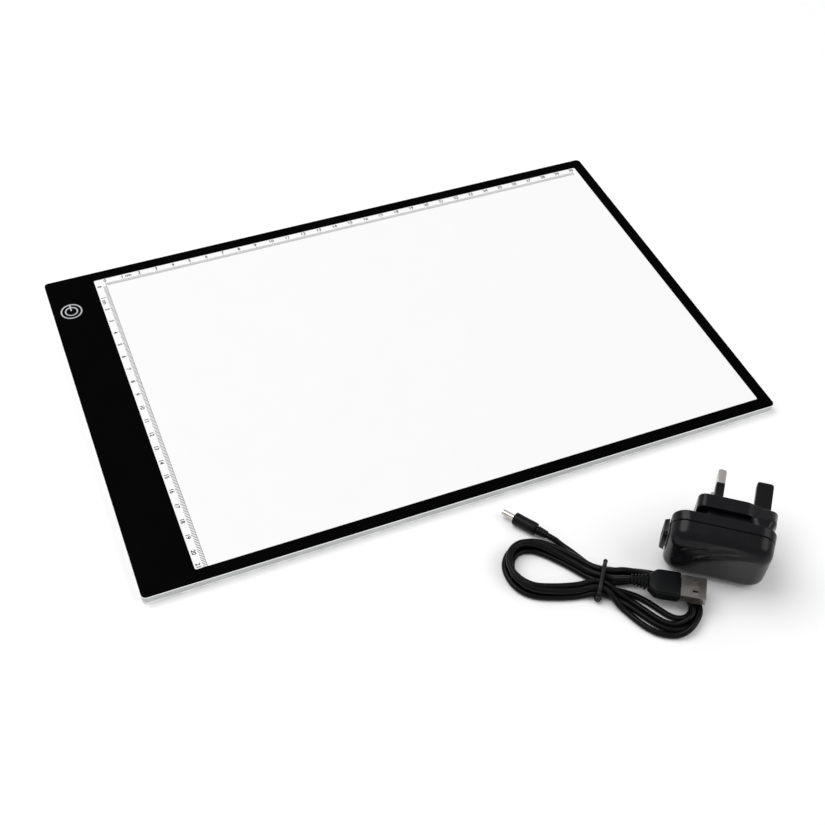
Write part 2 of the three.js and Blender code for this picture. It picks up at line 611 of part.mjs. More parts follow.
function buildSocket(adapter) {
  const [openY, openZ] = SOCKET.opening;
  const face = -CASE.halfLength;
  const holeY = openY / 2 + SOCKET.skin + GAP;
  const holeZ = openZ / 2 + SOCKET.skin + GAP;
  const rimY = holeY + SOCKET.rim;
  const rimZ = holeZ + SOCKET.rim;
  const collar = roundedShape(-rimY, rimY, -rimZ, rimZ, SOCKET.corner);
  collar.holes.push(new THREE.Path([
    new THREE.Vector2(-holeY, -holeZ), new THREE.Vector2(-holeY, holeZ),
    new THREE.Vector2(holeY, holeZ), new THREE.Vector2(holeY, -holeZ),
  ]));
  // Shape X becomes the case's Y and shape Y becomes its Z, and the extrusion runs along X.
  const upright = (geometry) => geometry.rotateX(Math.PI / 2).rotateZ(Math.PI / 2);
  const ring = upright(slab(collar, 0, SOCKET.proud, 5)).translate(face - GAP - SOCKET.proud, SOCKET.y, 0);
  place(adapter, 'adapter_usb_surround', ring, finish.blackPlastic);

  const mouth = face - SOCKET.proud;
  const back = mouth + SOCKET.depth;
  const outerY = openY / 2 + SOCKET.skin;
  const outerZ = openZ / 2 + SOCKET.skin;
  const shell = block(mouth, back, SOCKET.y - outerY, SOCKET.y + outerY, -outerZ, outerZ);
  const hollow = block(mouth - 1, back - SOCKET.skin, SOCKET.y - openY / 2, SOCKET.y + openY / 2,
    -openZ / 2, openZ / 2);
  place(adapter, 'adapter_usb_shell', cut(shell, hollow), finish.steel);

  const tongueLow = SOCKET.y - 0.2;
  const heelY = openY / 2 - GAP;
  const heelZ = openZ / 2 - GAP;
  const heel = block(back - 3, back - SOCKET.skin - GAP, SOCKET.y - heelY, SOCKET.y + heelY, -heelZ, heelZ);
  const tongue = block(mouth + 1.5, back - 2, tongueLow, tongueLow + 1.9, 0.45 - heelZ, heelZ - 0.45);
  place(adapter, 'adapter_usb_tongue', join(heel, tongue), finish.whitePlastic);
}

function buildConverter(adapter) {
  const boardBack = SOCKET.y - SOCKET.opening[0] / 2 - SOCKET.skin - GAP;
  const { boardHalfX, boardHalfZ, boardThick, tall } = CONVERTER;
  place(adapter, 'adapter_board', block(
    -boardHalfX, boardHalfX, boardBack - boardThick, boardBack, -boardHalfZ, boardHalfZ,
  ), finish.board);
  const partsFrom = boardBack + GAP;
  const [left, right, halfZ] = CONVERTER.transformer;
  place(adapter, 'adapter_transformer', block(
    left, right, partsFrom, partsFrom + tall, -halfZ, halfZ,
  ), finish.tape);
  const [canX, canZ, canRadius] = CONVERTER.can;
  const can = new THREE.CylinderGeometry(canRadius, canRadius, tall, 20);
  can.translate(canX, partsFrom + tall / 2, canZ);
  place(adapter, 'adapter_capacitor', can, finish.chip);
}

// ---- assembly -----------------------------------------------------------------------------

const pad = new THREE.Group();
buildLayers(pad);
buildLightSource(pad);
buildControls(pad);
buildJack(pad);

const lead = new THREE.Group();
buildHank(lead);
buildDcPlug(lead);
buildUsbPlug(lead);

// The lower side wall lies flat on the table, so the draft tips the pins up by its own angle.
const adapter = new THREE.Group();
const tip = radians(ADAPTER.wallDraft);
adapter.rotation.set(tip, 0, radians(ADAPTER.heading), 'ZYX');
adapter.position.set(ADAPTER.x, ADAPTER.y, CASE.halfHeight * Math.cos(tip) - CASE.rear * Math.sin(tip));
buildCase(adapter);
buildPins(adapter);
buildSocket(adapter);
buildConverter(adapter);

const lightBox = new THREE.Group();
lightBox.add(pad, lead, adapter);

export default lightBox;
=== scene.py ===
"""Looks of the A4 tracing light box, with its tied supply lead and its plug-in power adapter.

Lengths are in millimetres unless a name says otherwise, and mm() turns them into Blender's metres.
The camera and the cord come first, then materials, the pad, the lead and the adapter.
"""
import itertools
import json
import math

import bmesh
import bpy
import numpy as np
from mathutils import Matrix, Quaternion, Vector


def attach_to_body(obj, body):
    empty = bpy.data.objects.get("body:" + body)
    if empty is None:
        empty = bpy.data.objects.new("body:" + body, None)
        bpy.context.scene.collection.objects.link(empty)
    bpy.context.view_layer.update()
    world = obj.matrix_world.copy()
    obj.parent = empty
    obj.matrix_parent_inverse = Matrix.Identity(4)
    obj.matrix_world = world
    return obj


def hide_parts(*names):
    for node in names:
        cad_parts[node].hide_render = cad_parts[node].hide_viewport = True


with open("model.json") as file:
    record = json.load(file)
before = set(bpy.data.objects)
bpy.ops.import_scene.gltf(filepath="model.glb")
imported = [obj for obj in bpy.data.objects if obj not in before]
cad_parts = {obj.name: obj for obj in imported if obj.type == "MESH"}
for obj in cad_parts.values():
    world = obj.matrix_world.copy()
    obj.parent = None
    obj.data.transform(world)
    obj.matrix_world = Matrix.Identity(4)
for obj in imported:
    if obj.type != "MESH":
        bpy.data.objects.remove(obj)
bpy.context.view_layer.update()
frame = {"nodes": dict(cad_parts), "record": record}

NODES = frame["nodes"]
MM = 0.001


def mm(*values):
    """A point given in millimetres, in metres."""
    return Vector(values) * MM


# ---- camera ---------------------------------------------------------------------------------

CAMERA_PLACE = mm(-191.572, -464.314, 499.036)
CAMERA_AIM = mm(-9.369, -47.035, 0)
CAMERA_ROLL = math.radians(2.0646)
CAMERA_LENS = 55.526


def make_camera():
    camera = bpy.data.objects.new("camera", bpy.data.cameras.new("camera"))
    bpy.context.scene.collection.objects.link(camera)
    camera.data.lens = CAMERA_LENS
    camera.data.sensor_width = 36
    camera.data.clip_start = 0.01
    camera.data.clip_end = 20
    camera.location = CAMERA_PLACE
    camera.rotation_mode = "QUATERNION"
    look = (CAMERA_AIM - CAMERA_PLACE).to_track_quat("-Z", "Y")
    camera.rotation_quaternion = look @ Quaternion((0, 0, 1), CAMERA_ROLL)
    bpy.context.scene.camera = camera


# ---- objects and meshes ---------------------------------------------------------------------

def link(name, data):
    piece = bpy.data.objects.new(name, data)
    bpy.context.scene.collection.objects.link(piece)
    return piece


def mesh_object(name, points, faces, smooth=True):
    """A mesh piece from points in metres, with its faces made to point outwards."""
    mesh = bpy.data.meshes.new(name)
    mesh.from_pydata([tuple(p) for p in points], [], faces)
    edit = bmesh.new()
    edit.from_mesh(mesh)
    bmesh.ops.recalc_face_normals(edit, faces=edit.faces)
    edit.to_mesh(mesh)
    edit.free()
    for face in mesh.polygons:
        face.use_smooth = smooth
    return link(name, mesh)


def evaluated_mesh(piece):
    """A new mesh of a piece as it looks with its curve or its modifiers worked out."""
    bpy.context.view_layer.update()
    return bpy.data.meshes.new_from_object(piece.evaluated_get(bpy.context.evaluated_depsgraph_get()))


# ---- the cord -------------------------------------------------------------------------------

# The cord's thickness, the height of its middle on the table and in the second layer, and how far
# apart two strands' middles are kept.
CORD = 3.0
CORD_REST = CORD / 2 + 0.05
LAYER = CORD_REST + 3.06
CORD_GAP = CORD + 0.04
# The spacing of its points, and of those that its curve is first drawn with.
CORD_STEP = 1.0
CORD_DETAIL = 0.4

# The tie's centre and heading, how high its band lifts the strands, and how far along and across
# from its centre it lifts them.
TIE_X, TIE_Y, TIE_HEADING = 32.5, -181.3, math.radians(-37.2)
TIE_LIFT = 1.3
TIE_REACH = 9.0
TIE_HALF_SPAN = 10
ALONG = np.array([math.cos(TIE_HEADING), math.sin(TIE_HEADING)])
ACROSS = np.array([-ALONG[1], ALONG[0]])

# How the turns settle: how many times, how far along a strand it starts to push itself, how many
# points are held still at each end, and how strongly it is smoothed, held to its route and lowered.
SETTLE_ROUNDS = 110
SELF_NEIGHBOURS = 9
HELD_START, HELD_END = 6, 9
SMOOTHING, HOLDING, SINKING = 0.3, 0.03, 0.02

# Where the strands of the two halves pass through the tie: the offset across it, and the height.
UPPER_CELLS = [(6.2, CORD_REST), (3.1, CORD_REST), (0, CORD_REST), (4.65, LAYER), (1.55, LAYER)]
LOWER_CELLS = [(-6.2, CORD_REST), (-3.1, CORD_REST), (-1.55, LAYER), (-4.65, LAYER)]

# The middle of the turns at the hank's round end, from the lower half of the tie to the upper.
ROUND_END = [
    (17.2, -182.3), (7.4, -178.8), (-0.2, -175), (-4.6, -169.4), (-5.9, -162.8), (-4.8, -156.2),
    (-0.4, -151), (5.6, -149.3), (11.2, -151.2), (15.6, -155.2), (20, -160.8), (24.8, -167.6),
]
# How far out from it each turn starts and ends, its height, and the hump where it crosses another.
ROUND_TURNS = [
    (1.55, 1.55, CORD_REST, 0), (-1.55, -1.55, CORD_REST, 0), (-3.1, 3.1, LAYER, 0), (0, 0, LAYER, 3.4),
]

# The turns at the plug's end, from the upper half of the tie to the lower.
LOOSE_END = [
    [(45.4, -178.9, 1.55), (53.1, -182.4, 1.55), (61, -187.5, 1.55), (67.6, -193.8, 1.55),
     (70.4, -200.6, 1.55), (69.8, -207.7, 1.55), (65.6, -214.1, 1.55), (59.2, -217.9, 1.55),
     (52.5, -217.8, 1.55), (47.3, -213.4, 1.55), (43, -206.1, 1.55), (39, -198, 1.55), (34.8, -192.1, 1.55)],
    [(43.9, -181.7, 1.55), (51, -186.2, 1.55), (58.1, -192.2, 1.55), (63.8, -198.8, 1.55),
     (66.9, -205.6, 1.55), (65, -211.4, 1.55), (59.6, -213.7, 1.55), (54.3, -210.6, 1.55),
     (50.8, -204.3, 1.55), (47.2, -197.6, 1.55), (42.3, -191.6, 1.55), (36.6, -187.9, 1.7)],
    [(41.8, -184.5, 2.2), (49.2, -187.6, 3.8), (57, -193.4, 4.3), (63.4, -199.8, 4.3), (66.8, -206.6, 4.4),
     (65.4, -213, 4.4), (59.4, -216.3, 3.4), (53, -214.9, 1.9), (48.2, -209.8, 1.55),
     (44.6, -202.4, 1.55), (40.4, -195.2, 2), (35.6, -188.6, 4.2)],
    [(44.4, -179.5, 4.6), (52, -184.4, 4.3), (59.4, -190.4, 4.3), (65.3, -197, 4.3),
     (68.3, -203.9, 4.3), (67.5, -210.6, 4.3), (63.8, -216.2, 4), (58.2, -219.3, 3.3), (52, -219.8, 2.2),
     (46.2, -217.5, 1.55), (41.6, -212.6, 1.55), (37.9, -205.2, 1.55), (35.6, -198.2, 1.9),
     (33.2, -191.4, 4.2)],
]

# The cord from the round plug to the tie, and from the tie to the USB plug.
DC_RUN = [(20.2, -147.8, 3.3), (21.9, -150.3, 3.1), (24.3, -153.6, 2.4), (27, -158.6, 1.7),
          (29.4, -164.2, 1.55), (32, -170.6, 1.55)]
USB_RUN = [(35.6, -183.7, 7.2), (37.9, -185.7, 8.4), (40.35, -187.42, 9.4), (42.6, -188.9, 9.8)]


def eased(amount, share):
    """The part of an amount that is reached at a share of the way, with a level start and end."""
    return amount * share * share * (3 - 2 * share)


def tie_cell(offset, height):
    """Where a strand passes through the tie."""
    return (*(np.array([TIE_X, TIE_Y]) + ACROSS * offset), height)


def round_end_turn(start_out, end_out, height, hump):
    """One turn round the hank's round end, its distance from the middle line changing on the way."""
    middle = np.array(ROUND_END, float)
    heading = np.gradient(middle, axis=0)
    heading /= np.linalg.norm(heading, axis=1)[:, None]
    outwards = np.stack([heading[:, 1], -heading[:, 0]], 1)
    if ((middle - middle.mean(0)) * outwards).sum() < 0:
        outwards = -outwards
    share = (np.arange(len(middle)) + 0.5) / len(middle)
    out = start_out + eased(end_out - start_out, share)
    heights = height + hump * np.sin(np.pi * share) ** 2
    return [(*point, z) for point, z in zip(middle + outwards * out[:, None], heights)]


def cord_route():
    """The cord's points from the round plug through every turn to the USB plug."""
    points = list(DC_RUN)
    for turn, loose in enumerate(LOOSE_END):
        points += [tie_cell(*UPPER_CELLS[turn]), *loose, tie_cell(*LOWER_CELLS[turn])]
        points += round_end_turn(*ROUND_TURNS[turn])
    return np.array([*points, tie_cell(*UPPER_CELLS[-1]), *USB_RUN], float)


def mix(p, q, low, high, at):
    """The point at a place on the line that is at p when the place is low, and at q when it is high."""
    return ((high - at) * p + (at - low) * q) / (high - low)


def curve_through(points, step):
    """Points a step apart on a smooth curve through the given ones (centripetal Catmull-Rom)."""
    padded = np.vstack([2 * points[0] - points[1], points, 2 * points[-1] - points[-2]])
    line = []
    for a, b, c, d in zip(padded, padded[1:], padded[2:], padded[3:]):
        legs = ((a, b), (b, c), (c, d))
        knots = np.cumsum([0] + [math.sqrt(np.linalg.norm(q - p)) for p, q in legs])
        count = max(2, round(np.linalg.norm(c - b) / CORD_DETAIL))
        for at in np.linspace(knots[1], knots[2], count, endpoint=False):
            first = [mix(p, q, knots[i], knots[i + 1], at) for i, (p, q) in enumerate(legs)]
            second = [mix(first[i], first[i + 1], knots[i], knots[i + 2], at) for i in range(2)]
            line.append(mix(*second, knots[1], knots[2], at))
    line = np.array([*line, padded[-2]])
    return spaced(line, step)


def spaced(line, step=1.0, count=None):
    """The same line with its points evenly spaced: a step apart, or a given number of them."""
    along = np.concatenate([[0], np.cumsum(np.linalg.norm(np.diff(line, axis=0), axis=1))])
    at = np.linspace(0, along[-1], count or max(2, round(along[-1] / step) + 1))
    return np.stack([np.interp(at, along, part) for part in line.T], 1)


def settle(line):
    """Lets the turns sink, while they keep a diameter apart and clear of the table and the tie."""
    guide = line.copy()
    index = np.arange(len(line))
    apart = np.abs(index[:, None] - index[None, :]) > SELF_NEIGHBOURS
    moving = slice(HELD_START, -HELD_END)
    for _ in range(SETTLE_ROUNDS):
        away = line[:, None, :] - line[None, :, :]
        distance = np.linalg.norm(away, axis=2) + 1e-9
        close = apart & (distance < CORD_GAP)
        push = np.where(close, (CORD_GAP - distance) / distance / 2, 0)
        shift = (away * push[:, :, None]).sum(1) / np.maximum(close.sum(1), 1)[:, None]
        smoothed = line.copy()
        smoothed[1:-1] = (line[:-2] + line[2:]) / 2
        change = shift + SMOOTHING * (smoothed - line) + HOLDING * (guide - line)
        change[:, 2] -= SINKING
        line[moving] += change[moving]
        near_tie = np.abs((line[:, :2] - (TIE_X, TIE_Y)) @ ALONG) / TIE_REACH
        across = np.abs((line[:, :2] - (TIE_X, TIE_Y)) @ ACROSS)
        lift = np.where(across < TIE_HALF_SPAN, TIE_LIFT * np.clip(1 - near_tie ** 2, 0, 1) ** 2, 0)
        line[:, 2] = np.maximum(line[:, 2], CORD_REST + lift)
    return line


def make_cord():
    line = settle(curve_through(cord_route(), CORD_STEP))
    curve = bpy.data.curves.new("supply_cord", "CURVE")
    curve.dimensions = "3D"
    # The thickness is in the points' radius, because Blender adds that radius to the curve's box.
    curve.bevel_depth = 1
    curve.bevel_resolution = 5
    curve.use_fill_caps = True
    spline = curve.splines.new("POLY")
    spline.points.add(len(line) - 1)
    for point, place in zip(spline.points, line):
        point.co = (*(place * MM), 1)
        point.radius = CORD / 2 * MM
    spline.use_smooth = True
    cord = link("supply_cord", curve)
    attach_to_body(cord, "lead")
    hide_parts("cable_hank", "cable_lead_dc", "cable_lead_usb")
    return cord


make_camera()
cord = make_cord()


# ---- materials ------------------------------------------------------------------------------

# Each of the record's slots: colour, roughness, and what sets it apart. grain is how many grains
# of relief there are to a metre, depth how deep they are in millimetres, and shade how far the
# colour strays from its mean.
FINISHES = {
    "white_cover": {"color": (0.85, 0.85, 0.84), "roughness": 0.5, "grain": 2500, "depth": 0.03},
    "reflector": {"color": (0.9, 0.9, 0.9), "roughness": 0.7},
    "acrylic": {"color": (0.5, 0.52, 0.525), "roughness": 0.22, "grain": 900, "depth": 0.02, "shade": 0.1},
    "diffuser": {"color": (0.78, 0.78, 0.78), "roughness": 0.6},
    "lit_window": {
        "color": (0.36, 0.36, 0.36), "roughness": 0.4, "specular": 0.15, "glow": 0.53, "shade": 0.01,
    },
    "black_print": {
        "color": (0.0009, 0.0009, 0.001), "roughness": 0.45, "specular": 0.008, "depth": 0.004,
    },
    "circuit_board": {"color": (0.03, 0.16, 0.07), "roughness": 0.4},
    "led": {"color": (0.85, 0.8, 0.55), "roughness": 0.35},
    "chip": {"color": (0.02, 0.02, 0.022), "roughness": 0.5},
    "ferrite": {"color": (0.05, 0.05, 0.055), "roughness": 0.7, "depth": 0.05},
    "ceramic": {"color": (0.45, 0.33, 0.2), "roughness": 0.5},
    "copper": {"color": (0.8, 0.5, 0.26), "roughness": 0.3, "metallic": 1},
    "steel": {"color": (0.36, 0.335, 0.315), "roughness": 0.32, "metallic": 1, "grain": 1800, "depth": 0.006},
    "nickel": {"color": (0.6, 0.58, 0.53), "roughness": 0.24, "metallic": 1, "grain": 1800, "depth": 0.005},
    "cord_rubber": {"color": (0.0016, 0.0016, 0.0018), "roughness": 0.34, "specular": 0.13, "depth": 0.01},
    "tie": {"color": (0.004, 0.004, 0.0045), "roughness": 0.45, "specular": 0.3, "depth": 0.02},
    "plug_rubber": {"color": (0.002, 0.0024, 0.003), "roughness": 0.42, "specular": 0.14, "depth": 0.02},
    "black_plastic": {"color": (0.0025, 0.0025, 0.0032), "roughness": 0.4, "specular": 0.15},
    "adapter_plastic": {
        "color": (0.0025, 0.0026, 0.0038), "roughness": 0.26, "specular": 0.2, "depth": 0.004,
    },
    "white_plastic": {"color": (0.4, 0.41, 0.42), "roughness": 0.5, "depth": 0.01},
    "tape": {"color": (0.6, 0.42, 0.05), "roughness": 0.35},
    "red_wire": {"color": (0.4, 0.015, 0.01), "roughness": 0.45},
}

# How many grains of relief one patch of colour or of gloss spans, how far the gloss strays, the
# part of the noise that is spread over the whole range, and the relief's strength.
GRAINS_PER_PATCH = {"color": 14, "gloss": 9}
GLOSS_STRAY = 0.15
NOISE_RANGE = (0.3, 0.7)
RELIEF_STRENGTH = 0.6


def make_material(
    name, color, roughness, metallic=0, specular=0.5, grain=1200, depth=0.01, shade=0.15, glow=0,
):
    """A finish whose colour and gloss stray a little, over a fine relief."""
    made = bpy.data.materials.new(name)
    made.use_nodes = True
    nodes, links = made.node_tree.nodes, made.node_tree.links
    shader = nodes["Principled BSDF"]
    place = nodes.new("ShaderNodeTexCoord")

    def noise(scale, detail):
        node = nodes.new("ShaderNodeTexNoise")
        node.inputs["Scale"].default_value = scale
        node.inputs["Detail"].default_value = detail
        links.new(place.outputs["Object"], node.inputs["Vector"])
        return node.outputs["Fac"]

    def spread(value, low, high):
        node = nodes.new("ShaderNodeMapRange")
        for socket, number in zip(("From Min", "From Max", "To Min", "To Max"), (*NOISE_RANGE, low, high)):
            node.inputs[socket].default_value = number
        links.new(value, node.inputs["Value"])
        return node.outputs["Result"]

    mottle = nodes.new("ShaderNodeValToRGB")
    for stop, position, strength in zip(mottle.color_ramp.elements, NOISE_RANGE, (1 - shade, 1 + shade)):
        stop.position = position
        stop.color = (*[min(part * strength, 1) for part in color], 1)
    links.new(noise(grain / GRAINS_PER_PATCH["color"], detail=3), mottle.inputs["Fac"])
    links.new(mottle.outputs["Color"], shader.inputs["Base Color"])
    patches = noise(grain / GRAINS_PER_PATCH["gloss"], detail=2)
    gloss = spread(patches, roughness * (1 - GLOSS_STRAY), roughness * (1 + GLOSS_STRAY))
    links.new(gloss, shader.inputs["Roughness"])
    bump = nodes.new("ShaderNodeBump")
    bump.inputs["Strength"].default_value = RELIEF_STRENGTH
    bump.inputs["Distance"].default_value = depth * MM
    links.new(noise(grain, detail=4), bump.inputs["Height"])
    links.new(bump.outputs["Normal"], shader.inputs["Normal"])
    shader.inputs["Metallic"].default_value = metallic
    shader.inputs["Specular IOR Level"].default_value = specular
    if glow:
        shader.inputs["Emission Color"].default_value = (1, 1, 1, 1)
        shader.inputs["Emission Strength"].default_value = glow
    return made


MATERIALS = {name: make_material(name, **finish) for name, finish in FINISHES.items()}
NODE_SLOTS = {row["node"]: row["material_slot"] for row in frame["record"]["subparts"]}


def paint(piece, slot):
    piece.data.materials.clear()
    piece.data.materials.append(MATERIALS[slot])


def attach(piece, body, slot, *nodes):
    """Gives a piece its body and finish, and hides the CAD nodes that it stands for."""
    paint(piece, slot)
    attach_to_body(piece, body)
    if nodes:
        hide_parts(*nodes)
    return piece


# ---- shaping tools --------------------------------------------------------------------------

# Edges that turn by more than the first are shaded sharp. In a CAD node's copy, those that turn by
# more than the second are rounded.
SHADED_SHARP = math.radians(38)
ROUNDED_OFF = math.radians(28)
# A CAD node's copy has points closer than this joined, in millimetres, and edges between faces as
# flat as this dropped. Its rounded edges have this many segments.
WELD = 0.002
FLAT = math.radians(0.6)
BEVEL_SEGMENTS = 3


def shade_smooth(piece):
    for face in piece.data.polygons:
        face.use_smooth = True
    piece.data.set_sharp_from_angle(angle=SHADED_SHARP)


def keep_flats(piece):
    """Keeps broad flat faces flat to the eye beside their rounded edges."""
    piece.modifiers.new("flats", "WEIGHTED_NORMAL").keep_sharp = True


def softened(node, bevel):
    """A copy of a CAD node with its sharp edges rounded, which stands for the node."""
    source = NODES[node].data
    piece = mesh_object(
        f"{node}_soft", [v.co for v in source.vertices], [tuple(f.vertices) for f in source.polygons],
    )
    edit = bmesh.new()
    edit.from_mesh(piece.data)
    bmesh.ops.remove_doubles(edit, verts=edit.verts, dist=WELD * MM)
    bmesh.ops.dissolve_limit(edit, angle_limit=FLAT, verts=edit.verts, edges=edit.edges)
    sharp = [edge for edge in edit.edges if edge.is_manifold and edge.calc_face_angle() > ROUNDED_OFF]
    bmesh.ops.bevel(edit, geom=sharp, offset=bevel * MM, offset_type="OFFSET",
                    segments=BEVEL_SEGMENTS, profile=0.5, affect="EDGES", clamp_overlap=True)
    bmesh.ops.recalc_face_normals(edit, faces=edit.faces)
    edit.to_mesh(piece.data)
    edit.free()
    shade_smooth(piece)
    keep_flats(piece)
    return piece


def soften_all(body, bevels):
    """Softened copies of CAD nodes, each with its own bevel in millimetres."""
    return [attach(softened(node, bevel), body, NODE_SLOTS[node], node) for node, bevel in bevels.items()]


def lofted(name, loops, place=Matrix(), ring=False):
    """A closed skin through loops of points in millimetres, capped at both ends unless it is a ring."""
    loops = [list(loop) for loop in loops]
    count = len(loops[0])
    rows = list(range(len(loops)))
    pairs = list(zip(rows, rows[1:] + rows[:1])) if ring else list(zip(rows, rows[1:]))
    faces = [
        (a * count + i, a * count + (i + 1) % count, b * count + (i + 1) % count, b * count + i)
        for a, b in pairs for i in range(count)
    ]
    if not ring:
        faces += [tuple(range(count)), tuple(range((len(loops) - 1) * count, len(loops) * count))]
    points = [place @ mm(*point) for loop in loops for point in loop]
    piece = mesh_object(name, points, faces)
    shade_smooth(piece)
    return piece


def turned(name, stations, place, sides=40):
    """A round piece along +X through (distance along, radius) stations."""
    angles = [math.tau * i / sides for i in range(sides)]
    loops = [[(x, r * math.cos(t), r * math.sin(t)) for t in angles] for x, r in stations]
    return lofted(name, loops, place)


def box_loop(half_y, half_z, corner, steps=7):
    """A rounded rectangle about the X axis, as (y, z) pairs."""
    pairs = []
    for quarter, (side_y, side_z) in enumerate(((1, 1), (-1, 1), (-1, -1), (1, -1))):
        for step in range(steps + 1):
            angle = math.pi / 2 * (quarter + step / steps)
            pairs.append((side_y * (half_y - corner) + corner * math.cos(angle),
                          side_z * (half_z - corner) + corner * math.sin(angle)))
    return pairs


def boxed(name, stations, place, ring=False):
    """A rounded rectangular piece along +X through (distance along, half y, half z, corner) stations."""
    return lofted(name, [[(x, *pair) for pair in box_loop(y, z, c)] for x, y, z, c in stations], place, ring)


def profile(start, end, from_start, from_end):
    """Stations along a piece, the first ones measured in from its start and the rest from its end."""
    return [
        *((start + distance, *size) for distance, *size in from_start),
        *((end - distance, *size) for distance, *size in from_end),
    ]


# A block's faces, by its corners numbered with x slowest and z fastest.
BLOCK_FACES = ((0, 1, 3, 2), (4, 6, 7, 5), (0, 4, 5, 1), (2, 3, 7, 6), (0, 2, 6, 4), (1, 5, 7, 3))


def join_boxes(name, boxes):
    """One mesh of separate upright blocks, each from its lowest to its highest corner."""
    points, faces = [], []
    for low, high in boxes:
        first = len(points)
        points += [mm(*corner) for corner in itertools.product(*zip(low, high))]
        faces += [tuple(first + i for i in face) for face in BLOCK_FACES]
    return mesh_object(name, points, faces, smooth=False)


# ---- the pad --------------------------------------------------------------------------------

# How far the edges of the softened copies are rounded.
PAD_BEVELS = {
    "back_cover": 0.3, "light_guide": 0.15, "diffuser_sheet": 0.04, "top_sheet": 0.06,
    "border_overlay": 0.08, "dc_jack_housing": 0.25,
}
# The heights of the window and of the black film, and how thick the print on them is.
SHEET_TOP, FILM_TOP = 5.25, 5.5
INK = 0.02

# The rulers meet at this corner, and their ticks stand outwards from the two lines through it. A
# tick's length depends on whether its number is a multiple of five or ten.
RULER_X, RULER_Y = -138.2, 102.2
TOP_LENGTH, LEFT_LENGTH = 300, 210
TICK = {"every": 2.1, "fifth": 2.3, "tenth": 2.6, "width": 0.32}
LABEL_SIZE = 3.1
LABEL_WEIGHT = 0.07
LABEL_OUT = 4.25
UNIT_ALONG = 3.5
# The left ruler's last number is moved in, clear of the film at the window's end.
LAST_LABEL_INSET = 1.7
LABEL_WELD = 0.001


def tick_length(number):
    if number % 10 == 0:
        return TICK["tenth"]
    return TICK["fifth"] if number % 5 == 0 else TICK["every"]


def make_ticks():
    half = TICK["width"] / 2
    low, high = SHEET_TOP, SHEET_TOP + INK
    boxes = [
        ((RULER_X - half, RULER_Y, low), (RULER_X + TOP_LENGTH + half, RULER_Y + half, high)),
        ((RULER_X - half, RULER_Y - LEFT_LENGTH - half, low), (RULER_X, RULER_Y - half, high)),
    ]
    for number in range(TOP_LENGTH + 1):
        x = RULER_X + number
        boxes.append(((x - half, RULER_Y + half, low), (x + half, RULER_Y + tick_length(number), high)))
    for number in range(1, LEFT_LENGTH + 1):
        y = RULER_Y - number
        boxes.append(((RULER_X - tick_length(number), y - half, low), (RULER_X - half, y + half, high)))
    return join_boxes("ruler_ticks", boxes)


def label_mesh(text):
    """A printed label lying flat, centred on the origin."""
    curve = bpy.data.curves.new("label", "FONT")
    curve.body = text
    curve.size = LABEL_SIZE * MM
    curve.offset = LABEL_WEIGHT * MM
    curve.extrude = INK / 2 * MM
    curve.resolution_u = 4
    curve.align_x = "CENTER"
    curve.align_y = "CENTER"
    lettering = link("label", curve)
    mesh = evaluated_mesh(lettering)
    bpy.data.objects.remove(lettering)
    bpy.data.curves.remove(curve)
    return mesh


def make_numerals():
    """The centimetre numbers along both rulers, and the unit after each 1."""
    edit = bmesh.new()
    corner = Vector((RULER_X, RULER_Y, SHEET_TOP + INK / 2))
    rulers = (
        (TOP_LENGTH, TOP_LENGTH, Vector((1, 0, 0)), Vector((0, 1, 0)), 0),
        (LEFT_LENGTH, LEFT_LENGTH - LAST_LABEL_INSET, Vector((0, -1, 0)), Vector((-1, 0, 0)), -math.pi / 2),
    )
    for length, furthest, along, outward, turn in rulers:
        labels = [(str(number), min(10 * number, furthest)) for number in range(length // 10 + 1)]
        for text, distance in [*labels, ("cm", 10 + UNIT_ALONG)]:
            mesh = label_mesh(text)
            place = corner + along * distance + outward * LABEL_OUT
            mesh.transform(Matrix.Translation(mm(*place)) @ Matrix.Rotation(turn, 4, "Z"))
            edit.from_mesh(mesh)
            bpy.data.meshes.remove(mesh)
    bmesh.ops.remove_doubles(edit, verts=edit.verts, dist=LABEL_WELD * MM)
    mesh = bpy.data.meshes.new("ruler_numerals")
    edit.to_mesh(mesh)
    edit.free()
    return link("ruler_numerals", mesh)


# The power mark's centre, its two rings' outer radii, and where its bar starts and ends above it.
POWER = {"x": -161.4, "y": 87.3, "outer": 6.0, "inner": 3.65, "stroke": 0.82, "bar": (0.5, 5.4), "sides": 64}


def flat_ring(name, radius, stroke):
    """A printed ring lying on the black film."""
    angles = [math.tau * i / POWER["sides"] for i in range(POWER["sides"])]
    corners = ((radius - stroke, 0), (radius, 0), (radius, INK), (radius - stroke, INK))
    loops = [[(POWER["x"] + r * math.cos(t), POWER["y"] + r * math.sin(t), FILM_TOP + up) for t in angles]
             for r, up in corners]
    return lofted(name, loops, ring=True)


def make_power_mark():
    rings = [flat_ring("power_mark_outer", POWER["outer"], POWER["stroke"]),
             flat_ring("power_mark_inner", POWER["inner"], POWER["stroke"])]
    start, end = POWER["bar"]
    half = POWER["stroke"] / 2
    bar = join_boxes("power_mark_bar", [(
        (POWER["x"] - half, POWER["y"] + start, FILM_TOP + INK),
        (POWER["x"] + half, POWER["y"] + end, FILM_TOP + 2 * INK),
    )])
    for piece in (*rings, bar):
        attach(piece, "pad", "white_plastic")


def make_pad():
    soften_all("pad", PAD_BEVELS)
    attach(make_ticks(), "pad", "black_print")
    attach(make_numerals(), "pad", "black_print")
    make_power_mark()


# ---- the lead's plugs and tie ---------------------------------------------------------------

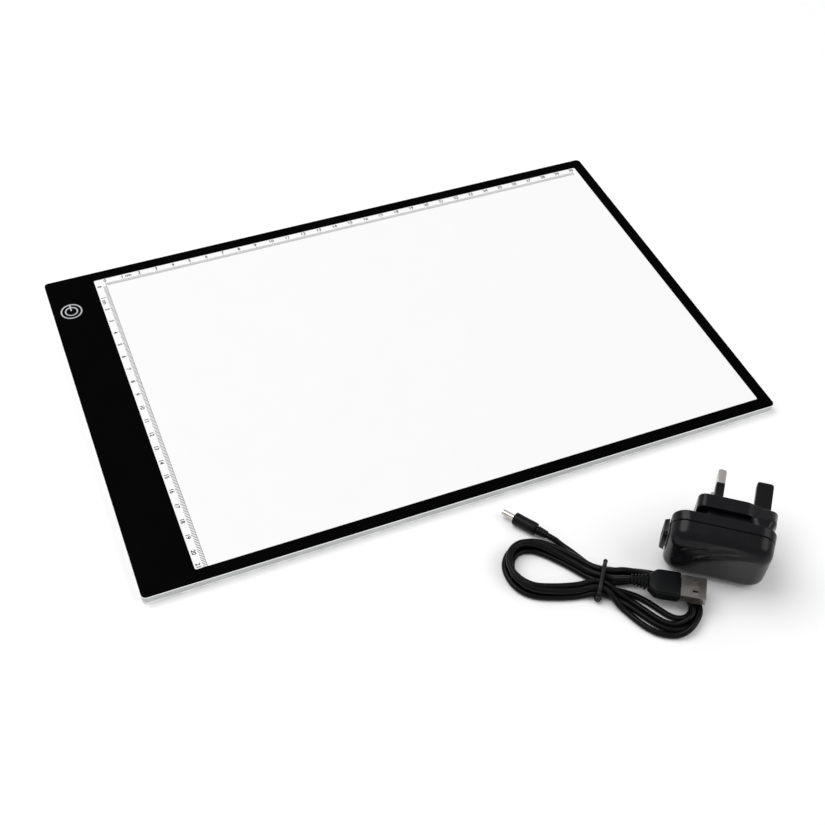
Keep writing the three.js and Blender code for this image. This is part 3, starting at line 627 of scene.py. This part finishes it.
DC_PLACE = Matrix.Translation(mm(20.2, -147.8, 3.3)) @ Matrix.Rotation(math.radians(124), 4, "Z")
DC_GRIP_START, DC_GRIP_END = 5.8, 18.3
DC_BARREL_START, DC_BARREL_END = 18.6, 25.1
USB_PLACE = Matrix.Translation(mm(42.6, -188.9, 9.8)) @ Matrix.Rotation(math.radians(-33), 4, "Z")
USB_GRIP_START, USB_GRIP_END = 8.5, 23.1
USB_SHELL_START, USB_SHELL_END = 23.4, 35.15

# The ribbed sleeves. throat is the station where the cord comes out, and sizes holds the first rib's
# size and how much each further rib is larger. A rib's outline is its share of the rib's length,
# millimetres past that, and how far in from the rib's size.
DC_RIBS = {
    "throat": (0, 1.6), "length": 5.5, "count": 4, "first": 0.2, "sizes": ((2.0, 0.1),), "corner": (),
    "outline": ((0, 0, 0.1), (0, 0.12, 0), (0.62, 0, 0), (0.7, 0, 0.1), (0.74, 0, 0.42), (0.96, 0, 0.42)),
}
USB_RIBS = {
    "throat": (0, 1.6, 1.6, 1.55), "length": 8.2, "count": 5, "first": 0.3,
    "sizes": ((2.15, 0.3), (2.1, 0.09)), "corner": (1.45,),
    "outline": ((0, 0, 0.15), (0.1, 0, 0), (0.56, 0, 0), (0.64, 0, 0.12), (0.68, 0, 0.62), (0.94, 0, 0.62)),
}

# Stations for profile(). Round ones are a distance and a radius, rectangular ones a distance, half
# width, half height and corner.
DC_GRIP = (
    [(0, 2.4), (0.1, 2.75), (0.35, 3.0), (0.8, 3.15), (2, 3.2), (5, 3.12), (8, 3.12)],
    [(2, 3.2), (0.6, 3.18), (0.25, 3.06), (0.06, 2.8), (0, 2.5)],
)
DC_BARREL = (
    [(0, 1.4), (0.05, 1.5)],
    [(2.3, 1.5), (2.24, 1.38), (1.96, 1.38), (1.9, 1.5), (0.35, 1.5), (0.12, 1.42), (0, 1.25),
     (0, 1.02), (0.08, 0.96)],
)
DC_BORE = ([(1, 0.95)], [])
USB_GRIP = (
    [(0, 3.7, 2.1, 1.5), (0.15, 4.05, 2.45, 1.7), (0.5, 4.4, 2.7, 1.8), (1.6, 5.4, 3.0, 1.9),
     (2.8, 6.35, 3.2, 2), (3.4, 6.75, 3.28, 2), (4.2, 6.95, 3.34, 1.9), (6.5, 7, 3.4, 1.8)],
    [(2, 7, 3.4, 1.7), (1.4, 6.97, 3.37, 1.7), (0.5, 6.85, 3.25, 1.6), (0.12, 6.6, 3, 1.5),
     (0, 6.3, 2.7, 1.4)],
)
USB_CONTACT = (
    [(2.6, 0.42, 0.03, 0.02), (2.7, 0.5, 0.06, 0.05)],
    [(1.2, 0.5, 0.06, 0.05), (1.0, 0.42, 0.03, 0.02)],
)
USB_CONTACT_Y, USB_CONTACT_Z = (-3.5, -1, 1, 3.5), 0.22
USB_BEVELS = {"usb_plug_shell": 0.12, "usb_plug_tongue": 0.2}


def ribbed(ribs):
    """The stations of a ribbed sleeve."""
    pitch = (ribs["length"] - ribs["first"]) / ribs["count"]
    stations = [ribs["throat"]]
    for rib in range(ribs["count"]):
        start = ribs["first"] + rib * pitch
        sizes = [first + growth * rib for first, growth in ribs["sizes"]]
        for share, past, inset in ribs["outline"]:
            inner = [size - inset for size in sizes]
            stations.append((start + share * pitch + past, *inner, *ribs["corner"]))
    return stations


def make_dc_plug():
    """Makes the round plug and returns its pieces."""
    relief = turned("dc_relief", ribbed(DC_RIBS), DC_PLACE)
    grip = turned("dc_grip", profile(DC_GRIP_START, DC_GRIP_END, *DC_GRIP), DC_PLACE, sides=56)
    metal = [
        *profile(DC_BARREL_START, DC_BARREL_END, *DC_BARREL),
        *profile(DC_BARREL_START, DC_BARREL_END, *DC_BORE),
    ]
    barrel = turned("dc_barrel", metal, DC_PLACE)
    return [
        attach(relief, "lead", "plug_rubber", "dc_plug_relief"),
        attach(grip, "lead", "plug_rubber", "dc_plug_grip"),
        attach(barrel, "lead", "nickel", "dc_plug_barrel"),
    ]


def make_usb_plug():
    """Makes the USB plug and returns its pieces."""
    relief = boxed("usb_relief", ribbed(USB_RIBS), USB_PLACE)
    grip = boxed("usb_grip", profile(USB_GRIP_START, USB_GRIP_END, *USB_GRIP), USB_PLACE)
    pieces = [
        attach(relief, "lead", "plug_rubber", "usb_plug_relief"),
        attach(grip, "lead", "plug_rubber", "usb_plug_grip"),
        *soften_all("lead", USB_BEVELS),
    ]
    contact = profile(USB_SHELL_START, USB_SHELL_END, *USB_CONTACT)
    for number, y in enumerate(USB_CONTACT_Y, 1):
        place = USB_PLACE @ Matrix.Translation(mm(0, y, USB_CONTACT_Z))
        pieces.append(attach(boxed(f"usb_contact_{number}", contact, place), "lead", "copper"))
    return pieces


# The tie's band: its lowest and highest point, half its width, how square its loop is, how much
# that narrows at the top, and half its section's size along the strands and outwards.
TIE_LOW, TIE_HIGH, TIE_HALF = 0.75, 8.05, 8.75
TIE_SQUARENESS, TIE_NARROWING = 0.42, 0.13
TIE_SECTION = (1.0, 0.62)
# Its nub and its knot: their height, and their stations outwards from the tie's middle.
TIE_NUB = 5.6, [(8.6, 0.7), (8.9, 0.98), (9.6, 1.1), (10.3, 1.08), (10.8, 0.86), (11.05, 0.45)]
TIE_KNOT = 2.6, [
    (-11.5, 0.5), (-11.35, 1.0), (-10.9, 1.5), (-10.2, 1.8), (-9.5, 1.75), (-8.9, 1.4), (-8.5, 0.9),
]


def swept(name, path, half_along, half_out, sides=16):
    """A closed band of elliptical section round a loop of (across, up) points at the tie."""
    path = np.array(path, float)
    tangent = np.roll(path, -1, 0) - np.roll(path, 1, 0)
    tangent /= np.linalg.norm(tangent, axis=1)[:, None]
    outwards = np.stack([tangent[:, 1], -tangent[:, 0]], 1)
    place = Matrix.Translation(mm(TIE_X, TIE_Y, 0)) @ Matrix.Rotation(TIE_HEADING, 4, "Z")
    angles = [math.tau * i / sides for i in range(sides)]
    loops = []
    for point, out in zip(path, outwards):
        loops.append([(half_along * math.cos(t), *(point + out * half_out * math.sin(t))) for t in angles])
    return lofted(name, loops, place, ring=True)


def tie_path(points=72):
    """The band's loop round the strands: flat below, and rounder over the top layer."""
    path = []
    for i in range(points):
        angle = math.tau * i / points
        across = TIE_HALF * math.copysign(abs(math.cos(angle)) ** TIE_SQUARENESS, math.cos(angle))
        up = math.copysign(abs(math.sin(angle)) ** TIE_SQUARENESS, math.sin(angle))
        height = (TIE_LOW + TIE_HIGH) / 2 + (TIE_HIGH - TIE_LOW) / 2 * up
        across *= 1 - TIE_NARROWING * max(up, 0) ** 2
        path.append((across, height))
    return path


def make_tie():
    """Makes the tie with its nub and knot, and returns its pieces."""
    band = swept("tie_band", tie_path(), *TIE_SECTION)
    pieces = [attach(band, "lead", "tie", "cable_tie")]
    middle = Matrix.Translation(mm(TIE_X, TIE_Y, 0)) @ Matrix.Rotation(TIE_HEADING + math.pi / 2, 4, "Z")
    for name, (height, stations) in (("tie_nub", TIE_NUB), ("tie_knot", TIE_KNOT)):
        place = middle @ Matrix.Translation(mm(0, 0, height))
        pieces.append(attach(turned(name, stations, place, sides=24), "lead", "tie"))
    return pieces


# ---- the adapter ----------------------------------------------------------------------------

# The adapter's heading, and its tip: it lies on a side that slants by that much.
ADAPTER_HEADING, ADAPTER_TIP = math.radians(-37), math.radians(10)
CASE = {
    "half_x": 24.2, "half_z": 19.5, "corner": 8, "dome": 6, "seam": 10.5, "seam_gap": 0.3, "rear": 15.8,
    "wall": 2, "side_draft": math.radians(2), "points": 180,
}
ADAPTER_LIFT = CASE["half_z"] * math.cos(ADAPTER_TIP) - CASE["rear"] * math.sin(ADAPTER_TIP)
ADAPTER_PLACE = (
    Matrix.Translation(mm(80.2, -200.6, ADAPTER_LIFT))
    @ Matrix.Rotation(ADAPTER_HEADING, 4, "Z") @ Matrix.Rotation(ADAPTER_TIP, 4, "X")
)
ADAPTER_BEVELS = {"adapter_usb_shell": 0.1, "adapter_usb_tongue": 0.15}
# Where the two blades stand across the case, and how far apart they and the earth pin are.
LINE_X, PIN_SPREAD = -4.7, 22.22

# Stations along each pin from inside the case: distance, half width, half height, corner.
PIN_STATIONS = [
    (12.8, 1.0, 2.2, 0.3), (13, 1.2, 2.37, 0.3), (36.25, 1.2, 2.37, 0.3), (36.3, 1.6, 2.8, 0.4),
    (36.45, 2, 3.17, 0.5), (42.6, 2, 3.17, 0.5), (43.5, 1.88, 3.02, 0.6), (44.2, 1.5, 2.6, 0.7),
    (44.6, 1.0, 2.05, 0.6), (44.7, 0.6, 1.6, 0.4),
]
SLEEVE_STATIONS = [
    (27.3, 1.95, 3.12, 0.45), (27.4, 2, 3.17, 0.5), (35.7, 2, 3.17, 0.5), (35.95, 1.9, 3.05, 0.45),
    (36, 1.7, 2.85, 0.4), (36, 1.5, 2.67, 0.3), (27.3, 1.5, 2.67, 0.3),
]
EARTH_STATIONS = [
    (19.1, 3.7, 1.7, 0.4), (19.3, 4, 2, 0.5), (47.5, 4, 2, 0.5), (48.6, 3.85, 1.85, 0.6),
    (49.3, 3.4, 1.4, 0.6), (49.65, 2.8, 0.9, 0.5), (49.7, 2.3, 0.6, 0.4),
]
SOCKET = {"y": 10.9, "half_y": 3.15, "half_z": 6.85, "gap": 0.3, "proud": 2.2, "cut": 5}
# The socket's collar: the end that a station is measured from and how far, how far out it is beyond
# the hole, and its corner.
COLLAR = [
    ("face", 0, 1.3, 2.2, 2.2), ("face", -0.25, 1.3, 2.1, 2.2), ("mouth", 0.5, 1.1, 1.25, 1.9),
    ("mouth", 0.12, 0.95, 1.05, 1.7), ("mouth", 0, 0.6, 0.7, 1.4), ("mouth", 0, 0.3, 0.3, 0.9),
    ("mouth", 0.2, 0, 0, 0.6), ("face", 0, 0, 0, 0.6),
]

# The rear shell's raised face: outwards from the case, a neck, the plate that the pins stand on, and
# the plate's flush end, which runs down to the case. taper is where the plate narrows.
PLATFORM = {
    "face": 27, "shelf": 20, "left": -14, "right": 23.5, "half_wide": 18.3, "half_narrow": 15.2,
    "corner": 4, "taper": (8, 17), "edges": (0.5, 0.7), "points": 160,
}
NECK = {"x": 2, "half_x": 13, "half_z": 15, "corner": 4, "overlap": 0.5}
FLUSH_X = 16.5
# The flush end's stations: distance back, half width, half height and corner.
FLUSH_STATIONS = [
    (12, 3.6, 18.2, 3.5), (19.2, 6.35, 18.1, 4), (20, 6.6, 17.95, 4), (20.8, 6.6, 17.6, 4),
    (26.2, 6.55, 15.5, 4), (26.6, 6.45, 15.2, 3.9), (26.85, 6.25, 14.9, 3.7), (26.97, 5.95, 14.55, 3.4),
]
# The slots that the pins stand in: half width, half height, and how far back their floor is. They
# are cut from there to a little beyond the raised face.
BLADE_SLOT = (1.5, 2.67, CASE["rear"] - 6)
EARTH_SLOT = (4.3, 2.3, 18.8)
SLOT_CORNER, SLOT_BEYOND = 0.3, 1
# How much the rear shell's edges are rounded, at the seam and at the rear.
REAR_EDGES = (0.35, 1.2)

# The front shell's rounded edge at the seam, how deep and how far in its halfway point is, and how
# far the shell's inside stays back from the seam.
SEAM_EDGE = {"round": 0.35, "halfway": (0.12, 0.06), "back": 0.3}
# The front shell's lip, which passes inside the rear shell and closes the seam between them.
LIP = {"clear": 0.1, "inner": 0.6, "reach": 1.2}

# How many rows of points the front has over its flat middle, round the dome's edge and down the
# side. The first row is this share of the flat middle's size.
FRONT_ROWS = {"middle": 34, "edge": 12, "side": 4}
FRONT_FIRST = 0.02

# Grooves that sweep over the front: where each starts and ends, how deep and how wide it is.
CREASES = [
    {"start": (-21.5, 13.2), "end": (19, 14.4), "depth": 0.8, "width": 1.7},
    {"start": (-19, 6.6), "end": (10, 13.6), "depth": 1.5, "width": 2.1},
    {"start": (-11, 2.2), "end": (17, 13.2), "depth": 1.3, "width": 2.0},
]
# How strongly a groove bends, and how much narrower it is at its end.
CREASE_BEND, CREASE_NARROWING = 1.7, 0.45


def case_outline(y, inset):
    """The case's section at a distance y behind its front, drawn in by inset, as (x, z) pairs."""
    half_x = CASE["half_x"] - inset - math.tan(CASE["side_draft"]) * (CASE["rear"] - y)
    half_z = CASE["half_z"] - inset - math.tan(ADAPTER_TIP) * (CASE["rear"] - y)
    corner = max(CASE["corner"] - inset, 1)
    rough = np.array([*box_loop(half_x, half_z, corner, steps=24)])
    return spaced(np.vstack([rough, rough[:1]]), count=CASE["points"] + 1)[:-1]


def front_relief(x, z):
    """How far the front is pressed in at a place, by the grooves that sweep across it."""
    total = 0
    for crease in CREASES:
        (x0, z0), (x1, z1) = crease["start"], crease["end"]
        along = np.clip((x - x0) / (x1 - x0), 0, 1)
        line = z0 + (z1 - z0) * (1 - (1 - along) ** CREASE_BEND)
        width = crease["width"] * (1 - CREASE_NARROWING * along)
        total = total + crease["depth"] * np.sin(np.pi * along) * np.exp(-((z - line) / width) ** 2)
    return total


def front_loops(inset):
    """The domed front's loops from its middle out to the seam, drawn in by inset."""
    dome = CASE["dome"]
    inner = case_outline(0, inset + dome)
    loops = []
    for share in np.linspace(FRONT_FIRST, 1, FRONT_ROWS["middle"]):
        loops.append((inner * share, np.full(len(inner), 0.0)))
    for turn in np.linspace(0, math.pi / 2, FRONT_ROWS["edge"])[1:]:
        back = dome * (1 - math.cos(turn))
        loops.append((case_outline(back, inset + dome * (1 - math.sin(turn))), np.full(len(inner), back)))
    for back in np.linspace(dome, CASE["seam"] - SEAM_EDGE["round"] - inset, FRONT_ROWS["side"])[1:]:
        loops.append((case_outline(back, inset), np.full(len(inner), back)))
    return [
        [(x, inset + y + (front_relief(x, z) if inset == 0 else 0), z) for (x, z), y in zip(outline, depth)]
        for outline, depth in loops
    ]


def combine(piece, operation, other):
    """Joins another closed mesh to a piece, or cuts it away, and removes it."""
    change = piece.modifiers.new("combine", "BOOLEAN")
    change.operation = operation
    change.object = other
    piece.data = evaluated_mesh(piece)
    piece.modifiers.clear()
    bpy.data.objects.remove(other)


def slot_cutter(x, z, half_x, half_z, floor):
    """What is cut away for one pin, from the slot's floor to beyond the raised face."""
    outline = box_loop(half_x, half_z, SLOT_CORNER, steps=2)
    loops = [[(x + out, y, z + up) for out, up in outline] for y in (floor, PLATFORM["face"] + SLOT_BEYOND)]
    return lofted("slot_cutter", loops, ADAPTER_PLACE)


def socket_cutter():
    """What is cut away for the USB socket, through the case's side."""
    outline = box_loop(SOCKET["half_y"], SOCKET["half_z"], SLOT_CORNER, steps=2)
    ends = (-CASE["half_x"] - SOCKET["cut"], -CASE["half_x"] + SOCKET["cut"])
    loops = [[(x, SOCKET["y"] + y, z) for y, z in outline] for x in ends]
    return lofted("socket_cutter", loops, ADAPTER_PLACE)


def make_front_shell():
    seam, edge = CASE["seam"], SEAM_EDGE["round"]
    outside, inside = CASE["wall"] + LIP["clear"], CASE["wall"] + LIP["inner"]
    half_back, half_in = SEAM_EDGE["halfway"]
    rim = [
        (seam - half_back, half_in), (seam, edge), (seam, outside), (seam + LIP["reach"], outside),
        (seam + LIP["reach"], inside), (seam - SEAM_EDGE["back"], inside),
    ]
    loops = [
        *front_loops(0),
        *([(x, back, z) for x, z in case_outline(back, inset)] for back, inset in rim),
        *front_loops(CASE["wall"])[::-1],
    ]
    shell = lofted("adapter_front", loops, ADAPTER_PLACE)
    combine(shell, "DIFFERENCE", socket_cutter())
    shade_smooth(shell)
    attach(shell, "adapter", "adapter_plastic", "adapter_front_shell")


def rounded_side(low, high, first, last, steps=4):
    """(place, inset) pairs from low to high, with those two edges rounded by first and last."""
    turns = [math.pi / 2 * i / steps for i in range(steps + 1)]
    return [
        *((low + first * (1 - math.sin(t)), first * (1 - math.cos(t))) for t in reversed(turns)),
        *((high - last * (1 - math.sin(t)), last * (1 - math.cos(t))) for t in turns),
    ]


def platform_outline(inset, corner_steps=8, taper_steps=12):
    """The outline of the plate that the pins stand on, drawn in by inset, as (x, z) pairs."""
    left, right, corner = PLATFORM["left"], PLATFORM["right"], PLATFORM["corner"]
    wide, narrow = PLATFORM["half_wide"], PLATFORM["half_narrow"]
    taper_from, taper_to = PLATFORM["taper"]
    turns = [math.pi / 2 * i / corner_steps for i in range(corner_steps + 1)]
    taper = [
        (taper_from + (taper_to - taper_from) * share, wide - eased(wide - narrow, share))
        for share in (i / taper_steps for i in range(taper_steps + 1))
    ]
    upper = np.array([
        *((left + corner * (1 - math.cos(t)), wide - corner * (1 - math.sin(t))) for t in turns),
        *taper,
        *((right - corner * (1 - math.sin(t)), narrow - corner * (1 - math.cos(t))) for t in turns),
    ])
    line = np.vstack([upper, upper[::-1] * (1, -1), upper[:1]])
    line = spaced(line, count=PLATFORM["points"] + 1)[:-1]
    along = np.roll(line, -1, axis=0) - np.roll(line, 1, axis=0)
    inward = np.stack([along[:, 1], -along[:, 0]], axis=1) / np.linalg.norm(along, axis=1)[:, None]
    return line + inset * inward


def make_rear_shell():
    """The case's rear half, and on it the neck, the plate and its flush end, with the pins' slots."""
    start, rear, wall = CASE["seam"] + CASE["seam_gap"], CASE["rear"], CASE["wall"]
    shelf, face = PLATFORM["shelf"], PLATFORM["face"]
    skin = [(rear - wall, wall), (start, wall), *rounded_side(start, rear, *REAR_EDGES)]
    loops = [[(x, y, z) for x, z in case_outline(y, inset)] for y, inset in skin]
    shell = lofted("adapter_rear", loops, ADAPTER_PLACE)

    section = box_loop(NECK["half_x"], NECK["half_z"], NECK["corner"])
    neck_ends = (rear - NECK["overlap"], shelf + NECK["overlap"])
    neck = [[(NECK["x"] + x, y, z) for x, z in section] for y in neck_ends]
    plate = [
        [(x, y, z) for x, z in platform_outline(inset)]
        for y, inset in rounded_side(shelf, face, *PLATFORM["edges"])
    ]
    flush_end = [[(FLUSH_X + x, y, z) for x, z in box_loop(*section)] for y, *section in FLUSH_STATIONS]
    parts = [
        lofted("neck", neck, ADAPTER_PLACE),
        lofted("platform", plate, ADAPTER_PLACE),
        lofted("flush_end", flush_end, ADAPTER_PLACE),
    ]
    for part in parts:
        combine(shell, "UNION", part)
    for side in (-1, 1):
        combine(shell, "DIFFERENCE", slot_cutter(LINE_X, side * PIN_SPREAD / 2, *BLADE_SLOT))
    combine(shell, "DIFFERENCE", slot_cutter(LINE_X + PIN_SPREAD, 0, *EARTH_SLOT))
    combine(shell, "DIFFERENCE", socket_cutter())
    shade_smooth(shell)
    keep_flats(shell)
    attach(shell, "adapter", "adapter_plastic", "adapter_rear_shell")


def make_collar():
    """The collar round the USB socket, with slanting ends and a rolled rim."""
    face = -CASE["half_x"] - SOCKET["gap"]
    ends = {"face": face, "mouth": face - SOCKET["proud"]}
    loops = []
    for end, along, out_y, out_z, corner in COLLAR:
        outline = box_loop(SOCKET["half_y"] + out_y, SOCKET["half_z"] + out_z, corner)
        loops.append([(ends[end] + along, SOCKET["y"] + y, z) for y, z in outline])
    collar = lofted("adapter_usb_collar", loops, ADAPTER_PLACE, ring=True)
    attach(collar, "adapter", "adapter_plastic", "adapter_usb_surround")


def make_pins():
    def pin_place(x, z):
        return ADAPTER_PLACE @ Matrix.Translation(mm(x, 0, z)) @ Matrix.Rotation(math.pi / 2, 4, "Z")

    for name, side in (("line", 1), ("neutral", -1)):
        place = pin_place(LINE_X, side * PIN_SPREAD / 2)
        attach(boxed(f"pin_{name}", PIN_STATIONS, place), "adapter", "nickel", f"adapter_{name}_pin")
        attach(boxed(f"sleeve_{name}", SLEEVE_STATIONS, place, ring=True), "adapter", "black_plastic",
               f"adapter_{name}_sleeve")
    earth = boxed("pin_earth", EARTH_STATIONS, pin_place(LINE_X + PIN_SPREAD, 0))
    attach(earth, "adapter", "black_plastic", "adapter_earth_pin")


def make_adapter():
    make_front_shell()
    make_collar()
    make_pins()
    soften_all("adapter", ADAPTER_BEVELS)
    make_rear_shell()


for node, node_slot in NODE_SLOTS.items():
    paint(NODES[node], node_slot)
paint(cord, "cord_rubber")
make_pad()
going_with = [NODES["dc_plug_liner"], *make_dc_plug(), *make_usb_plug(), *make_tie()]
make_adapter()


# ---- floor and light ------------------------------------------------------------------------

# These lengths are in metres, and each light's are its place, its size and its power in watts.
FLOOR_REACH = 4
LIGHTS = {"key": ((-0.6, 0.5, 1.6), 1.6, 21), "fill": ((1.1, -0.9, 1.3), 1.4, 10)}
FLOOR_SHADE, FLOOR_ROUGHNESS, SKY_STRENGTH = 0.9, 0.9, 0.52


def make_stage():
    corners = [(x * FLOOR_REACH, y * FLOOR_REACH, 0) for x, y in ((-1, -1), (1, -1), (1, 1), (-1, 1))]
    floor = mesh_object("floor", corners, [(0, 1, 2, 3)])
    paper = bpy.data.materials.new("floor")
    paper.use_nodes = True
    shader = paper.node_tree.nodes["Principled BSDF"]
    shader.inputs["Base Color"].default_value = (FLOOR_SHADE, FLOOR_SHADE, FLOOR_SHADE, 1)
    shader.inputs["Roughness"].default_value = FLOOR_ROUGHNESS
    floor.data.materials.append(paper)


def make_lights():
    world = bpy.data.worlds.new("studio")
    bpy.context.scene.world = world
    world.use_nodes = True
    background = world.node_tree.nodes["Background"]
    background.inputs["Color"].default_value = (1, 1, 1, 1)
    background.inputs["Strength"].default_value = SKY_STRENGTH
    for name, (place, size, power) in LIGHTS.items():
        light = bpy.data.lights.new(name, "AREA")
        light.shape = "DISK"
        light.size = size
        light.energy = power
        lamp = link(name, light)
        lamp.location = place
        lamp.rotation_euler = (-Vector(place)).to_track_quat("-Z", "Y").to_euler()
    bpy.context.scene.view_settings.view_transform = "Standard"


make_stage()
make_lights()

bpy.context.view_layer.update()
